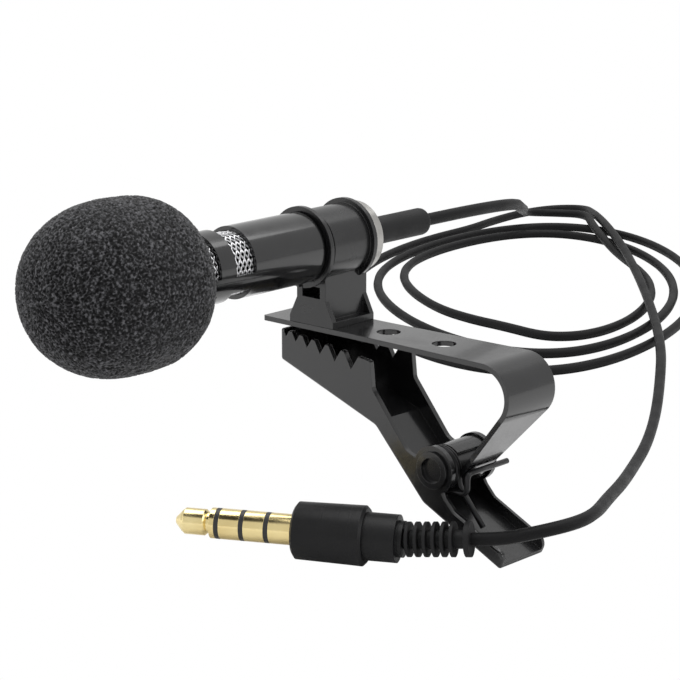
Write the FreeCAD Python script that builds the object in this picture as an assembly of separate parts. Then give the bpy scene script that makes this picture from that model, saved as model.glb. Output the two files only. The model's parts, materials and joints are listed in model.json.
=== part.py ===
import FreeCAD, Part
import math
import os

os.makedirs("parts", exist_ok=True)
V = FreeCAD.Vector

# Frame: the origin is on the underside of the clip's upper jaw, at the middle of the bite.
# X runs along the clip from its front tip to its bend, Y along the microphone, Z up.
# All sizes are in millimetres.

# Upper jaw: one bent spring strip
strip_thickness = 0.6
strip_front_x = -10.15
strip_front_width = 7.2
strip_bend_width = 8.3
strip_leg_width = 4.2
knuckle_back_y = 3.2
knuckle_front_y = -1.7
strip_widens_from_x = 4.0
strip_tip_radius = 0.3
bend_end_x = 27.3
bend_outer_radius = 3.8
hole_first_x = 6.4
hole_pitch = 8.3
hole_count = 2
hole_radius = 1.4

# Pivot of the lower jaw, with its hollow rivet
pivot_x = 16.55
pivot_z = -13.0
pivot_rivet_radius = 1.85
pivot_rivet_wall = 0.4
pivot_rim_radius = 2.15
pivot_rim_thickness = 0.3
pivot_dish_depth = 0.5
pivot_clearance = 0.05
knuckle_clearance = 0.08
knuckle_gap_from = 48.0

# Lower jaw: a channel of folded sheet with teeth on both walls
lever_width = 7.95
lever_sheet = 0.65
lever_tip_x = -7.0
lever_tip_z = -0.4
lever_front_height = 3.75
lever_knee_x = 7.8
lever_knee_z = -9.45
lever_heel_x = 15.0
lever_heel_z = -17.15
lever_tail_x = 26.2
lever_tail_z = -22.5
lever_fold_radius = 0.35
ear_radius = 2.8
post_x = 7.05
post_top_z = -2.05
post_foot_x = 7.4
post_foot_z = -5.3
throat_x = 12.5
throat_z = -11.5
tail_wall_height = 1.9
tail_notch_x = 18.3
tail_notch_z = -15.9
tooth_count = 6
tooth_first_x = -6.1
tooth_first_pitch = 1.55
tooth_pitch_step = 0.25
tooth_first_depth = 0.75
tooth_depth_step = 0.2

# Torsion spring beside the knuckle
spring_wire = 0.7
spring_turns = 2
spring_side_gap = 0.06
coil_relief = 0.2
spring_arm_inset = 0.02
spring_bar_end_y = 4.3
spring_bar_above_knuckle = 2.8
spring_foot_x = 22.4

# Holder that grips the microphone and is riveted to the upper jaw
holder_x = -2.45
mic_height = 10.1
grip_front_y = -5.25
grip_back_y = 2.7
grip_wall = 0.6
lip_radius = 4.75
lip_length = 0.55
groove_length = 0.8
groove_radius = 3.85
neck_width = 4.5
neck_relief = 0.25
foot_width = 6.8
foot_depth = 7.1
foot_thickness = 0.8
foot_flare_height = 2.3
foot_rib_thickness = 0.6
slot_width = 2.8
slot_height = 1.35
slot_below_grip = 0.1
split_width = 0.7
rivet_radius = 0.95
rivet_length = 2.4
rivet_head_radius = 1.9
rivet_head_thickness = 0.3

# Microphone barrel
mic_radius = 4.15
mic_wall = 0.5
mic_front_y = -36.0
mic_shoulder_gap = 0.4
waist_radius = 3.5
waist_wall = 0.55
grip_clearance = 0.06
window_length = 3.1
window_back_y = -16.75
window_pitch = 5.4
window_count = 2
window_span = 150.0
window_middle_angle = 68.0
mesh_thickness = 0.2
mesh_margin = 1.2
seat_clearance = 0.05
front_grille_thickness = 0.8
capsule_radius = 2.9
capsule_length = 2.7
capsule_behind_grille = 1.0
board_thickness = 0.5
board_radius = 2.5
inner_lead_radius = 0.3
inner_lead_spacing = 1.1
end_ring_length = 1.6
end_ring_bevel = 0.3
relief_radius = 1.65
relief_length = 11.7
relief_end_round = 0.8
relief_flange_radius = 2.6
relief_flange_thickness = 0.8
cord_anchor_depth = 4.0

# Foam windscreen
foam_front_y = -44.8
foam_back_y = -25.3
foam_radius = 9.65
foam_widest_y = -34.0
foam_shoulder_y = -27.0
foam_shoulder_radius = 8.1
foam_mouth_radius = 6.6
foam_clearance = 0.12
foam_pocket_gap = 0.8

# Surface on which the tail, the cord and the plug are level
floor_z = lever_tail_z
cord_diameter = 1.5

# Plug: a 3.5 mm four-pole plug
plug_radius = 1.75
plug_shaft_length = 14.0
shaft_root_length = 0.3
sleeve_tail_clearance = 0.12
sleeve_stop_width = 0.25
lug_room_length = 3.0
plug_end_x = 24.95
plug_end_y = -7.22
plug_heading = 27.2
housing_radius = 3.4
housing_front_radius = 3.25
housing_length = 8.2
collar_radius = 2.7
collar_length = 3.6
neck_ring_radius = 2.05
neck_ring_length = 0.7
rib_radius = 1.97
rib_core_radius = 1.05
rib_count = 6
rib_pitch = 1.0
rib_thickness = 0.36
end_rib_thickness = 0.6
last_rib_gap = 0.6
boot_length = 7.55
tip_length = 4.8
tip_nose_length = 0.75
tip_nose_radius = 1.25
tip_body_radius = 1.5
tip_round = 0.35
tip_neck_length = 0.45
tip_neck_radius = 1.2
tip_flange_length = 0.6
tip_flat_radius = 0.45
ring_length = 2.35
insulator_length = 0.55
core_radius = 0.6
core_tail = 5.0
sleeve_tail = 4.0
sleeve_bore_radius = 1.15
sleeve_tail_radius = 1.45
plug_exit_run = 3.2
boot_lift = 5.0

# Coil of loose turns lying on the surface behind the clip
coil_outer_x = -58.5
coil_outer_y = 110.4
coil_inner_x = -60.6
coil_inner_y = 112.7
coil_heading = 132.1
coil_outer_half_length = 58.0
coil_outer_half_width = 30.0
coil_inner_half_length = 37.0
coil_inner_half_width = 19.5


def mm_point(x, z):
    return V(x, 0, z)


def rounded_wire(points, radii):
    # a closed outline in the XZ plane with an arc of its own radius at each corner
    edges = []
    starts = []
    ends = []
    mids = []
    count = len(points)
    for i in range(count):
        corner = mm_point(*points[i])
        before = mm_point(*points[i - 1])
        after = mm_point(*points[(i + 1) % count])
        into = (before - corner).normalize()
        out = (after - corner).normalize()
        half = into.getAngle(out) / 2
        radius = radii[i]
        reach = radius / math.tan(half)
        start = corner + into * reach
        end = corner + out * reach
        middle_line = (into + out).normalize()
        centre = corner + middle_line * (radius / math.sin(half))
        starts.append(start)
        ends.append(end)
        mids.append(centre - middle_line * radius)
    for i in range(count):
        if radii[i] > 0:
            edges.append(Part.Arc(starts[i], mids[i], ends[i]).toShape())
        follow = (i + 1) % count
        if (ends[i] - starts[follow]).Length > 1e-6:
            edges.append(Part.makeLine(ends[i], starts[follow]))
    return Part.Wire(edges)


def slab(points, radii, y_from, y_to):
    # an outline in XZ, as thick as the two Y values say
    face = Part.Face(rounded_wire(points, radii))
    solid = face.extrude(V(0, y_to - y_from, 0))
    solid.translate(V(0, y_from, 0))
    return solid


def rod_y(radius, x, z, y_from, y_to):
    return Part.makeCylinder(radius, y_to - y_from, V(x, y_from, z), V(0, 1, 0))


def ring_y(outer, inner, x, z, y_from, y_to):
    hole = rod_y(inner, x, z, y_from - 1, y_to + 1)
    return rod_y(outer, x, z, y_from, y_to).cut(hole)


def box(x_from, x_to, y_from, y_to, z_from, z_to):
    size = V(x_to - x_from, y_to - y_from, z_to - z_from)
    return Part.makeBox(size.x, size.y, size.z, V(x_from, y_from, z_from))


def swept_tube(route, radius):
    # straight runs joined by tangent arcs, each as large as its two runs allow
    edges = []
    start = route[0]
    radii = []
    for i in range(1, len(route) - 1):
        into = route[i - 1] - route[i]
        out = route[i + 1] - route[i]
        reach = 0.45 * min(into.Length, out.Length)
        into_unit = V(into).normalize()
        out_unit = V(out).normalize()
        half = into_unit.getAngle(out_unit) / 2
        bend = reach * math.tan(half)
        radii.append(round(bend, 1))
        first = route[i] + into_unit * reach
        last = route[i] + out_unit * reach
        bisector = (into_unit + out_unit).normalize()
        middle = route[i] + bisector * (bend / math.sin(half) - bend)
        edges.append(Part.LineSegment(start, first).toShape())
        edges.append(Part.Arc(first, middle, last).toShape())
        start = last
    edges.append(Part.LineSegment(start, route[-1]).toShape())
    path = Part.Wire(edges)
    section = Part.Wire([Part.makeCircle(radius, route[0], route[1] - route[0])])
    return path.makePipeShell([section], True, False), path.Length, radii


def spin_y(points):
    # a turned piece: (radius, y) points about the microphone's axis
    outline = [V(r, y, 0) for r, y in points]
    face = Part.Face(Part.makePolygon(outline + [outline[0]]))
    solid = face.revolve(V(0, 0, 0), V(0, 1, 0), 360)
    solid.translate(V(holder_x, 0, mic_height))
    return solid


bend_x = bend_end_x - bend_outer_radius
bend_z = strip_thickness - bend_outer_radius
knuckle_inner = pivot_rivet_radius + knuckle_clearance
knuckle_outer = knuckle_inner + strip_thickness


def leg_direction():
    # the straight leg touches the bend and the knuckle on their outer sides
    dx = pivot_x - bend_x
    dz = pivot_z - bend_z
    distance = math.hypot(dx, dz)
    along = math.atan2(dz, dx)
    lean = math.asin((bend_outer_radius - knuckle_outer) / distance)
    return along - lean


def leg_normal():
    turn = leg_direction() + math.pi / 2
    return mm_point(math.cos(turn), math.sin(turn))


def sector(centre, outer, inner, from_angle, to_angle, y_from, y_to):
    # a bent stretch of strip: angles in degrees, turning clockwise from the first to the second
    middle_angle = (from_angle + to_angle) / 2

    def at(radius, angle):
        turn = math.radians(angle)
        return centre + mm_point(radius * math.cos(turn), radius * math.sin(turn))

    outside = Part.Arc(at(outer, from_angle), at(outer, middle_angle), at(outer, to_angle))
    inside = Part.Arc(at(inner, to_angle), at(inner, middle_angle), at(inner, from_angle))
    edges = [outside.toShape(), Part.makeLine(at(outer, to_angle), at(inner, to_angle))]
    edges = edges + [inside.toShape(), Part.makeLine(at(inner, from_angle), at(outer, from_angle))]
    solid = Part.Face(Part.Wire(edges)).extrude(V(0, y_to - y_from, 0))
    solid.translate(V(0, y_from, 0))
    return solid


spring_inner = pivot_rivet_radius + knuckle_clearance
spring_outer = spring_inner + spring_wire
lever_half = lever_width / 2
channel_half = lever_half - lever_sheet
leg_half = strip_leg_width / 2


def make_upper_jaw():
    half = strip_bend_width / 2
    normal = leg_normal()
    normal_angle = math.degrees(math.atan2(normal.z, normal.x))
    bend_centre = mm_point(bend_x, bend_z)
    pivot = mm_point(pivot_x, pivot_z)
    plate = box(strip_front_x, bend_x, -half, half, 0, strip_thickness)
    bend_inner = bend_outer_radius - strip_thickness
    bend = sector(bend_centre, bend_outer_radius, bend_inner, 90, normal_angle, -half, half)
    top_part = plate.fuse(bend)
    front_half = strip_front_width / 2
    plan = [V(strip_front_x, -front_half, 0), V(strip_widens_from_x, -front_half, 0)]
    plan = plan + [V(bend_x, -half, 0), V(bend_end_x + 1, -half, 0)]
    plan = plan + [V(p.x, -p.y, 0) for p in reversed(plan)]
    plan_face = Part.Face(Part.makePolygon(plan + [plan[0]]))
    plan_face.translate(V(0, 0, bend_z - bend_outer_radius - 5))
    top_part = top_part.common(plan_face.extrude(V(0, 0, bend_outer_radius * 2 + 10)))
    leg_top = bend_centre + normal * bend_outer_radius
    leg_end = pivot + normal * knuckle_outer
    leg_points = [leg_top, leg_end, leg_end - normal * strip_thickness, leg_top - normal * strip_thickness]
    leg_face = Part.Face(Part.makePolygon(leg_points + [leg_points[0]]))
    leg = leg_face.extrude(V(0, strip_bend_width, 0))
    leg.translate(V(0, -half, 0))
    for side in (-1, 1):
        # each side of the leg is cut along a slanting line, so that it fits between the ears
        edge_top = leg_top + V(0, side * half, 0)
        edge_end = leg_end + V(0, side * leg_half, 0)
        corner = leg_end + V(0, side * (half + 1), 0)
        far_corner = leg_top + V(0, side * (half + 1), 0)
        wedge_face = Part.Face(Part.makePolygon([edge_top, edge_end, corner, far_corner, edge_top]))
        wedge = wedge_face.extrude(normal * (-2 * strip_thickness))
        wedge.translate(normal * (strip_thickness / 2))
        leg = leg.cut(wedge)
    knuckle_end = knuckle_gap_from - 360
    knuckle = sector(pivot, knuckle_outer, knuckle_inner, normal_angle, knuckle_end, knuckle_front_y, knuckle_back_y)
    solid = top_part.fuse([leg, knuckle])
    # the leg stands back from the spring's coil
    coil_room = rod_y(spring_outer + coil_relief, pivot_x, pivot_z, -half - 1, knuckle_front_y)
    solid = solid.cut(coil_room)
    for i in range(hole_count):
        x = hole_first_x + i * hole_pitch
        solid = solid.cut(Part.makeCylinder(hole_radius, 4, V(x, 0, -1), V(0, 0, 1)))
    solid = solid.cut(Part.makeCylinder(rivet_radius, 4, V(holder_x, 0, -1), V(0, 0, 1)))
    solid = solid.removeSplitter()
    tips = []
    for edge in solid.Edges:
        low = edge.BoundBox
        upright = low.XLength < 1e-6 and low.YLength < 1e-6 and low.ZLength > strip_thickness / 2
        if upright and abs(low.XMin - strip_front_x) < 1e-6:
            tips.append(edge)
    return solid.makeFillet(strip_tip_radius, tips)


def tooth_line_z(x):
    share = (x - lever_tip_x) / (post_x - lever_tip_x)
    return lever_tip_z + share * (post_top_z - lever_tip_z)


def lever_outline():
    points = [(lever_tip_x, lever_tip_z), (lever_tip_x, lever_tip_z - lever_front_height)]
    radii = [0.15, 0.4]
    points = points + [(lever_knee_x, lever_knee_z), (lever_heel_x, lever_heel_z)]
    points = points + [(lever_tail_x, lever_tail_z)]
    radii = radii + [1.5, 2.0, 0.2]
    tail_angle = math.atan2(lever_tail_z - lever_heel_z, lever_tail_x - lever_heel_x)
    rise_x = -math.sin(tail_angle) * tail_wall_height
    rise_z = math.cos(tail_angle) * tail_wall_height
    points = points + [(lever_tail_x + rise_x, lever_tail_z + rise_z)]
    inner_x = tail_notch_x + 1.2
    inner_z = lever_tail_z + rise_z - (lever_tail_x + rise_x - inner_x) * math.tan(tail_angle)
    points = points + [(inner_x, inner_z), (tail_notch_x, tail_notch_z)]
    radii = radii + [1.2, 1.5, 0.1]
    points = points + [(pivot_x, pivot_z), (throat_x, throat_z)]
    radii = radii + [0.1, 2.0]
    points = points + [(post_foot_x, post_foot_z), (post_x, post_top_z)]
    radii = radii + [1.0, 0.2]
    return points, radii


def tooth_notches(y_from, y_to):
    notches = []
    x = tooth_first_x
    for i in range(tooth_count):
        depth = tooth_first_depth + tooth_depth_step * i
        pitch = tooth_first_pitch + tooth_pitch_step * i
        front = tooth_line_z(x - pitch / 2)
        back = tooth_line_z(x + pitch / 2)
        tip_gap = 0.12
        outline = [V(x - pitch / 2 + tip_gap, 0, front + 0.3), V(x, 0, tooth_line_z(x) - depth)]
        outline = outline + [V(x + pitch / 2 - tip_gap, 0, back + 0.3)]
        face = Part.Face(Part.makePolygon(outline + [outline[0]]))
        solid = face.extrude(V(0, y_to - y_from, 0))
        solid.translate(V(0, y_from, 0))
        notches.append(solid)
        x = x + pitch
    return notches


def lever_underside(rise):
    # corner points of the folded web's face that is this far above its outer face
    points = [mm_point(lever_tip_x, lever_tip_z - lever_front_height)]
    points = points + [mm_point(lever_knee_x, lever_knee_z), mm_point(lever_heel_x, lever_heel_z)]
    points = points + [mm_point(lever_tail_x, lever_tail_z)]
    shifted = []
    for i in range(len(points) - 1):
        run = (points[i + 1] - points[i]).normalize()
        up = mm_point(-run.z, run.x) * rise
        shifted.append((points[i] + up, points[i + 1] + up, run))
    result = [shifted[0][0] - shifted[0][2]]
    for i in range(len(shifted) - 1):
        a = shifted[i][0]
        d = shifted[i][2]
        b = shifted[i + 1][0]
        e = shifted[i + 1][2]
        cross = d.x * e.z - d.z * e.x
        t = ((b.x - a.x) * e.z - (b.z - a.z) * e.x) / cross
        result.append(a + d * t)
    result.append(shifted[-1][1] + shifted[-1][2])
    return result


def make_jaw_lever():
    points, radii = lever_outline()
    body = slab(points, radii, -lever_half, lever_half)
    body = body.fuse(rod_y(ear_radius, pivot_x, pivot_z, -lever_half, lever_half))
    body = body.removeSplitter()
    inside = lever_underside(lever_sheet)
    top = 20
    web_drop = lever_tail_z - lever_sheet
    inside = inside + [V(inside[-1].x, 0, top), V(inside[0].x, 0, top)]
    room_face = Part.Face(Part.makePolygon(inside + [inside[0]]))
    room = room_face.extrude(V(0, 2 * channel_half, 0))
    room.translate(V(0, -channel_half, 0))
    # the channel is closed at its front by a folded wall
    front_wall = box(inside[0].x, lever_tip_x + lever_sheet, -channel_half, channel_half, web_drop, top)
    body = body.cut(room.cut(front_wall))
    for notch in tooth_notches(-lever_half - 1, lever_half + 1):
        body = body.cut(notch)
    body = body.cut(rod_y(pivot_rivet_radius + pivot_clearance, pivot_x, pivot_z, -lever_half - 1, lever_half + 1))
    folds = []
    for edge in body.Edges:
        size = edge.BoundBox
        outer = abs(abs(size.YMin) - lever_half) < 1e-6 and size.YLength < 1e-6
        middle = edge.valueAt((edge.FirstParameter + edge.LastParameter) / 2)
        if outer and size.XLength > 5 and middle.z < web_line_z(middle.x) + 0.05:
            folds.append(edge)
    return body.makeFillet(lever_fold_radius, folds)


def web_line_z(x):
    line = [(lever_tip_x, lever_tip_z - lever_front_height), (lever_knee_x, lever_knee_z)]
    line = line + [(lever_heel_x, lever_heel_z), (lever_tail_x, lever_tail_z)]
    for i in range(len(line) - 1):
        if x <= line[i + 1][0] or i == len(line) - 2:
            share = (x - line[i][0]) / (line[i + 1][0] - line[i][0])
            return line[i][1] + share * (line[i + 1][1] - line[i][1])


def make_pivot_rivet():
    rim_from = lever_half + pivot_clearance
    reach = rim_from + pivot_rim_thickness
    solid = rod_y(pivot_rivet_radius, pivot_x, pivot_z, -reach, reach)
    for side in (-1, 1):
        near = min(side * rim_from, side * reach)
        far = max(side * rim_from, side * reach)
        solid = solid.fuse(rod_y(pivot_rim_radius, pivot_x, pivot_z, near, far))
    bore = pivot_rivet_radius - pivot_rivet_wall
    dish_from = reach - pivot_dish_depth
    for side in (-1, 1):
        near = min(side * dish_from, side * (reach + 1))
        far = max(side * dish_from, side * (reach + 1))
        solid = solid.cut(rod_y(bore, pivot_x, pivot_z, near, far))
    return solid.removeSplitter()


def spring_bar_point(y):
    normal = leg_normal()
    run = leg_direction()
    pivot = mm_point(pivot_x, pivot_z)
    touch = pivot + normal * (knuckle_outer + spring_wire / 2 + spring_side_gap)
    point = touch - mm_point(math.cos(run), math.sin(run)) * spring_bar_above_knuckle
    return point + V(0, y, 0)


def make_torsion_spring():
    # the coil is drawn as its envelope; both ends leave it as straight wire
    coil_to = knuckle_front_y - spring_side_gap
    coil_from = coil_to - spring_turns * spring_wire
    coil = ring_y(spring_outer, spring_inner, pivot_x, pivot_z, coil_from, coil_to)
    radius = spring_wire / 2 - spring_arm_inset
    mean = (spring_inner + spring_outer) / 2
    out_y = coil_from + spring_wire / 2
    bar_start = spring_bar_point(out_y)
    bar_end = spring_bar_point(spring_bar_end_y)
    below = V(pivot_x, out_y, pivot_z - mean)
    elbow = V(bar_start.x, out_y, pivot_z - mean)
    upper = swept_tube([below, elbow, bar_start, bar_end], radius)[0]
    foot_y = coil_to - spring_wire / 2
    web = lever_underside(lever_sheet)
    slope = (web[3].z - web[2].z) / (web[3].x - web[2].x)
    foot_z = web[2].z + (spring_foot_x - web[2].x) * slope
    foot_lift = (radius + spring_side_gap) / math.cos(math.atan(slope))
    start = V(pivot_x, foot_y, pivot_z - mean)
    run = V(spring_foot_x, foot_y, foot_z + foot_lift) - start
    lower = Part.makeCylinder(radius, run.Length, start, run)
    return coil.fuse([upper, lower]).removeSplitter()


grip_radius = waist_radius + grip_clearance
foot_top = strip_thickness + foot_thickness


def make_mic_holder():
    groove_from = grip_front_y + lip_length
    groove_to = groove_from + groove_length
    body_radius = grip_radius + grip_wall
    sleeve = rod_y(body_radius, holder_x, mic_height, groove_to, grip_back_y)
    sleeve = sleeve.fuse(rod_y(groove_radius, holder_x, mic_height, groove_from - 0.1, groove_to + 0.1))
    front_lip = rod_y(lip_radius, holder_x, mic_height, grip_front_y, groove_from)
    back_lip = rod_y(lip_radius, holder_x, mic_height, grip_back_y - lip_length, grip_back_y)
    half_neck = neck_width / 2
    half_depth = foot_depth / 2
    neck = box(holder_x - half_neck, holder_x + half_neck, -half_depth, half_depth, foot_top, mic_height)
    half_foot = foot_width / 2
    foot = box(holder_x - half_foot, holder_x + half_foot, -half_depth, half_depth, strip_thickness, foot_top)
    solid = sleeve.fuse([front_lip, back_lip, neck, foot])
    flare_top = foot_top + foot_flare_height
    flare = [V(holder_x - half_foot, 0, foot_top), V(holder_x + half_foot, 0, foot_top)]
    flare = flare + [V(holder_x + half_neck, 0, flare_top), V(holder_x - half_neck, 0, flare_top)]
    flare_face = Part.Face(Part.makePolygon(flare + [flare[0]]))
    for y in (-half_depth, half_depth - foot_rib_thickness):
        rib = flare_face.extrude(V(0, foot_rib_thickness, 0))
        rib.translate(V(0, y, 0))
        solid = solid.fuse(rib)
    solid = solid.cut(rod_y(grip_radius, holder_x, mic_height, grip_front_y - 1, grip_back_y + 1))
    solid = solid.cut(rod_y(mic_radius + neck_relief, holder_x, mic_height, grip_back_y, half_depth + 1))
    slot_top = mic_height - lip_radius - slot_below_grip
    half_slot = slot_width / 2
    slot = box(holder_x - half_slot, holder_x + half_slot, -9, 9, slot_top - slot_height, slot_top)
    half_split = split_width / 2
    split_top = mic_height - grip_radius / 2
    split = box(holder_x - half_split, holder_x + half_split, -9, 9, slot_top - 0.1, split_top)
    solid = solid.cut(slot).cut(split)
    shank_hole = Part.makeCylinder(rivet_radius, rivet_length, V(holder_x, 0, strip_thickness - 0.1))
    return solid.cut(shank_hole).removeSplitter()


def make_holder_rivet():
    head = Part.makeCylinder(rivet_head_radius, rivet_head_thickness, V(holder_x, 0, -rivet_head_thickness))
    shank_top = strip_thickness + rivet_length - 0.2
    shank = Part.makeCylinder(rivet_radius - 0.02, shank_top, V(holder_x, 0, 0))
    return head.fuse(shank).removeSplitter()


mic_shoulder_y = grip_front_y - mic_shoulder_gap
waist_end_y = grip_back_y + mic_shoulder_gap
mic_bore = mic_radius - mic_wall
waist_bore = waist_radius - waist_wall


def make_mic_barrel():
    solid = rod_y(mic_radius, holder_x, mic_height, mic_front_y, mic_shoulder_y)
    solid = solid.fuse(rod_y(waist_radius, holder_x, mic_height, mic_shoulder_y - 0.1, waist_end_y))
    front_bore = rod_y(mic_bore, holder_x, mic_height, mic_front_y - 1, mic_shoulder_y - mic_wall)
    solid = solid.cut(front_bore)
    solid = solid.cut(rod_y(waist_bore, holder_x, mic_height, mic_front_y, waist_end_y + 1))
    for row in range(window_count):
        back = window_back_y - row * window_pitch
        for side in (0, 180):
            solid = solid.cut(window_tool(back - window_length, back, window_middle_angle + side))
    return solid.removeSplitter()


def window_tool(y_from, y_to, middle_angle):
    tool = Part.makeCylinder(mic_radius + 1, y_to - y_from, V(0, 0, 0), V(0, 0, 1), window_span)
    tool = tool.cut(Part.makeCylinder(mic_bore - 0.02, y_to - y_from))
    tool.rotate(V(0, 0, 0), V(0, 0, 1), -window_span / 2 - middle_angle)
    tool.rotate(V(0, 0, 0), V(1, 0, 0), -90)
    tool.translate(V(holder_x, y_from, mic_height))
    return tool


def make_window_mesh():
    back = window_back_y + mesh_margin
    front = window_back_y - window_length - (window_count - 1) * window_pitch - mesh_margin
    outer = mic_bore - seat_clearance
    return ring_y(outer, outer - mesh_thickness, holder_x, mic_height, front, back)


def make_front_grille():
    outer = mic_bore - seat_clearance
    disc = rod_y(outer, holder_x, mic_height, mic_front_y, mic_front_y + front_grille_thickness)
    rings = ((0, 1), (1.2, 6), (2.4, 12))
    for radius, count in rings:
        for i in range(count):
            turn = 2 * math.pi * i / count
            x = holder_x + radius * math.cos(turn)
            z = mic_height + radius * math.sin(turn)
            disc = disc.cut(rod_y(0.35, x, z, mic_front_y - 1, mic_front_y + front_grille_thickness + 1))
    return disc


capsule_y = mic_front_y + front_grille_thickness + capsule_behind_grille
board_y = capsule_y + capsule_length


def make_capsule():
    solid = rod_y(capsule_radius, holder_x, mic_height, capsule_y, board_y)
    port = rod_y(0.6, holder_x, mic_height, capsule_y - 1, capsule_y + 0.4)
    return solid.cut(port)


def make_capsule_gasket():
    outer = mic_bore - seat_clearance
    inner = capsule_radius + seat_clearance
    return ring_y(outer, inner, holder_x, mic_height, capsule_y, board_y)


def make_capsule_board():
    return rod_y(board_radius, holder_x, mic_height, board_y, board_y + board_thickness)


relief_seat_y = waist_end_y - relief_flange_thickness
cord_anchor_y = relief_seat_y - cord_anchor_depth


def make_inner_leads():
    leads = []
    for side in (-1, 1):
        x = holder_x + side * inner_lead_spacing / 2
        leads.append(rod_y(inner_lead_radius, x, mic_height, board_y + board_thickness, cord_anchor_y))
    return Part.makeCompound(leads)


def make_cord_anchor():
    # the crimp that holds the cord inside the barrel, behind the strain relief
    return rod_y(waist_bore - seat_clearance, holder_x, mic_height, cord_anchor_y, relief_seat_y)


end_ring_y = waist_end_y + end_ring_length


def make_end_ring():
    bore = relief_radius + seat_clearance
    low = mic_radius - end_ring_bevel
    points = [(bore, waist_end_y), (low, waist_end_y), (mic_radius, waist_end_y + end_ring_bevel)]
    points = points + [(mic_radius, end_ring_y - end_ring_bevel), (low, end_ring_y), (bore, end_ring_y)]
    return spin_y(points)


relief_end_y = end_ring_y + relief_length


def make_mic_strain_relief():
    points = [(0, relief_seat_y), (relief_flange_radius, relief_seat_y), (relief_flange_radius, waist_end_y)]
    points = points + [(relief_radius, waist_end_y), (relief_radius, relief_end_y - relief_end_round)]
    steps = 4
    for i in range(1, steps + 1):
        turn = math.radians(90 * i / steps)
        radius = relief_radius - relief_end_round + relief_end_round * math.cos(turn)
        points.append((radius, relief_end_y - relief_end_round + relief_end_round * math.sin(turn)))
    points.append((0, relief_end_y))
    return spin_y(points)


def make_windscreen():
    pocket = mic_radius + foam_clearance
    pocket_y = mic_front_y - foam_pocket_gap
    nose = V(0, foam_front_y, 0)
    quarter = math.sin(math.radians(45))
    nose_middle = V(foam_radius * quarter, foam_widest_y + (foam_front_y - foam_widest_y) * quarter, 0)
    widest = V(foam_radius, foam_widest_y, 0)
    shoulder = V(foam_shoulder_radius, foam_shoulder_y, 0)
    back_middle = V(foam_radius - 0.35, (foam_widest_y + foam_shoulder_y) / 2 + 0.6, 0)
    mouth = V(foam_mouth_radius, foam_back_y, 0)
    lip = V(pocket, foam_back_y, 0)
    bottom = V(pocket, pocket_y, 0)
    centre = V(0, pocket_y, 0)
    edges = [Part.Arc(nose, nose_middle, widest).toShape(), Part.Arc(widest, back_middle, shoulder).toShape()]
    outline = [shoulder, mouth, lip, bottom, centre, nose]
    for i in range(len(outline) - 1):
        edges.append(Part.makeLine(outline[i], outline[i + 1]))
    solid = Part.Face(Part.Wire(edges)).revolve(V(0, 0, 0), V(0, 1, 0), 360)
    solid.translate(V(holder_x, 0, mic_height))
    return solid


plug_axis_z = floor_z + housing_radius
plug_length = plug_shaft_length + housing_length + collar_length + neck_ring_length + boot_length


def place_plug(solid):
    # pieces of the plug are made along +X from the tip, then laid on the surface
    turn = math.radians(plug_heading)
    solid.rotate(V(0, 0, 0), V(0, 0, 1), plug_heading)
    x = plug_end_x - plug_length * math.cos(turn)
    y = plug_end_y - plug_length * math.sin(turn)
    solid.translate(V(x, y, plug_axis_z))
    return solid


def spin_x(points):
    outline = [V(x, r, 0) for x, r in points]
    face = Part.Face(Part.makePolygon(outline + [outline[0]]))
    return face.revolve(V(0, 0, 0), V(1, 0, 0), 360)


ring_1_x = tip_length + insulator_length
ring_2_x = ring_1_x + ring_length + insulator_length
sleeve_x = ring_2_x + ring_length + insulator_length


def make_plug_tip():
    flange_x = tip_length - tip_flange_length
    neck_x = flange_x - tip_neck_length
    points = [(0, 0), (0, tip_flat_radius), (tip_nose_length, tip_nose_radius)]
    points = points + [(tip_nose_length + tip_round, tip_body_radius), (neck_x - tip_round, tip_body_radius)]
    points = points + [(neck_x, tip_neck_radius), (flange_x - tip_round / 2, tip_neck_radius)]
    points = points + [(flange_x, plug_radius), (tip_length, plug_radius)]
    points = points + [(tip_length, core_radius), (sleeve_x + core_tail, core_radius), (sleeve_x + core_tail, 0)]
    return place_plug(spin_x(points))


def tube_x(outer, inner, x_from, x_to):
    hole = Part.makeCylinder(inner, x_to - x_from + 2, V(x_from - 1, 0, 0), V(1, 0, 0))
    return Part.makeCylinder(outer, x_to - x_from, V(x_from, 0, 0), V(1, 0, 0)).cut(hole)


def make_plug_insulators():
    inner = core_radius
    rings = []
    for x in (tip_length, ring_1_x + ring_length, ring_2_x + ring_length):
        rings.append(place_plug(tube_x(plug_radius, inner, x, x + insulator_length)))
    return Part.makeCompound(rings)


def make_plug_ring(x):
    return place_plug(tube_x(plug_radius, core_radius + 0.15, x, x + ring_length))


def make_plug_sleeve():
    bore = core_radius + 0.15
    end = plug_shaft_length + sleeve_tail
    root_x = plug_shaft_length - shaft_root_length
    points = [(sleeve_x, bore), (sleeve_x, plug_radius), (root_x, plug_radius), (root_x, sleeve_tail_radius)]
    points = points + [(end, sleeve_tail_radius), (end, bore)]
    return place_plug(spin_x(points))


def make_plug_housing():
    start = plug_shaft_length
    collar = start + housing_length
    neck = collar + collar_length
    end = neck + neck_ring_length
    tail_bore = sleeve_tail_radius + sleeve_tail_clearance
    tail_end = start + sleeve_tail
    lug_room = sleeve_tail_radius - sleeve_stop_width
    points = [(start, tail_bore), (start, housing_front_radius - 0.4)]
    points = points + [(start + 0.3, housing_front_radius), (collar - 0.3, housing_radius)]
    points = points + [(collar, housing_radius - 0.3), (collar, collar_radius), (neck, collar_radius)]
    points = points + [(neck, neck_ring_radius), (end, neck_ring_radius), (end, rib_core_radius)]
    hollow_end = tail_end + lug_room_length
    points = points + [(hollow_end, rib_core_radius), (hollow_end, lug_room), (tail_end, lug_room)]
    points = points + [(tail_end, tail_bore)]
    return place_plug(spin_x(points))


boot_x = plug_length - boot_length


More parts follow.
